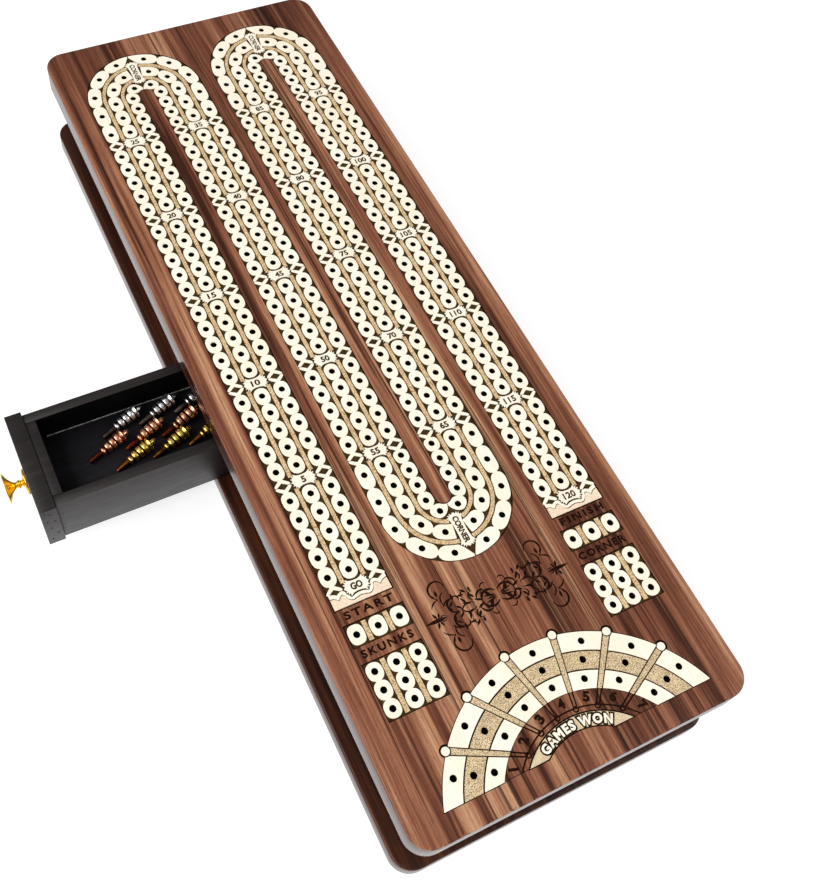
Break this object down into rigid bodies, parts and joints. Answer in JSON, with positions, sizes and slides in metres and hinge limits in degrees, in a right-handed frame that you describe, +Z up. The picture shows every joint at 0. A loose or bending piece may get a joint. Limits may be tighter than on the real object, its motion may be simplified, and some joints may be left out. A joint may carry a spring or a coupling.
{
  "type": "cribbage board",
  "caption": "Long rectangular peg-scoring board on a recessed frame, with a winding inlaid track of peg holes on top, a side drawer and metal scoring pegs.",
  "frame": {"origin": "centre of the bottom panel's underside, on the surface that the board stands on", "axes": "+X across the board, away from the drawer's knob; +Y along the board, from the games-won fan to the far U-turns; +Z up, out of the playing face"},
  "size_m": [0.2086, 0.375, 0.051],
  "materials": {
    "rosewood": "satin lacquered rosewood with dark streaks along its length",
    "maple": "smooth pale maple with fine engraved outlines",
    "dark_wood": "satin dark red-brown wood",
    "black_wood": "satin black stained wood",
    "brass": "polished turned brass",
    "steel": "plain zinc-plated steel",
    "silver_metal": "bright nickel-plated turned metal",
    "copper_metal": "bright copper-plated turned metal",
    "gold_metal": "bright turned brass"
  },
  "bodies": {
    "board": {"top_panel": "rosewood", "track_inlay": "maple", "games_fan_inlay": "maple", "games_label_inlay": "maple", "start_inlay": "maple", "skunks_inlay": "maple", "finish_inlay": "maple", "corner_inlay": "maple", "left_rail_near": "dark_wood", "left_rail_far": "dark_wood", "right_rail": "dark_wood", "near_rail": "dark_wood", "far_rail": "dark_wood", "drawer_guide_near": "dark_wood", "drawer_guide_far": "dark_wood", "bottom_panel": "dark_wood", "base_screw_1": "steel", "base_screw_2": "steel", "base_screw_3": "steel", "base_screw_4": "steel", "base_screw_5": "steel", "base_screw_6": "steel", "base_screw_7": "steel", "base_screw_8": "steel"},
    "drawer": {"drawer_facing": "black_wood", "drawer_box_front": "black_wood", "drawer_side_near": "black_wood", "drawer_side_far": "black_wood", "drawer_back": "black_wood", "drawer_floor": "black_wood", "drawer_knob": "brass", "knob_stud": "steel"},
    "silver_peg_1": {"silver_peg_1": "silver_metal"},
    "silver_peg_2": {"silver_peg_2": "silver_metal"},
    "silver_peg_3": {"silver_peg_3": "silver_metal"},
    "copper_peg_1": {"copper_peg_1": "copper_metal"},
    "copper_peg_2": {"copper_peg_2": "copper_metal"},
    "copper_peg_3": {"copper_peg_3": "copper_metal"},
    "gold_peg_1": {"gold_peg_1": "gold_metal"},
    "gold_peg_2": {"gold_peg_2": "gold_metal"},
    "gold_peg_3": {"gold_peg_3": "gold_metal"}
  },
  "joints": [
    {"name": "drawer_slide", "type": "slide", "parent": "board", "child": "drawer", "axis": [-1, 0, 0], "range_m": [-0.0707, 0.02]},
    {"name": "silver_peg_1_lift", "type": "slide", "parent": "drawer", "child": "silver_peg_1", "axis": [0, 0, 1], "range_m": [0, 0.008]},
    {"name": "silver_peg_2_lift", "type": "slide", "parent": "drawer", "child": "silver_peg_2", "axis": [0, 0, 1], "range_m": [0, 0.008]},
    {"name": "silver_peg_3_lift", "type": "slide", "parent": "drawer", "child": "silver_peg_3", "axis": [0, 0, 1], "range_m": [0, 0.008]},
    {"name": "copper_peg_1_lift", "type": "slide", "parent": "drawer", "child": "copper_peg_1", "axis": [0, 0, 1], "range_m": [0, 0.008]},
    {"name": "copper_peg_2_lift", "type": "slide", "parent": "drawer", "child": "copper_peg_2", "axis": [0, 0, 1], "range_m": [0, 0.008]},
    {"name": "copper_peg_3_lift", "type": "slide", "parent": "drawer", "child": "copper_peg_3", "axis": [0, 0, 1], "range_m": [0, 0.008]},
    {"name": "gold_peg_1_lift", "type": "slide", "parent": "drawer", "child": "gold_peg_1", "axis": [0, 0, 1], "range_m": [0, 0.008]},
    {"name": "gold_peg_2_lift", "type": "slide", "parent": "drawer", "child": "gold_peg_2", "axis": [0, 0, 1], "range_m": [0, 0.008]},
    {"name": "gold_peg_3_lift", "type": "slide", "parent": "drawer", "child": "gold_peg_3", "axis": [0, 0, 1], "range_m": [0, 0.008]}
  ]
}
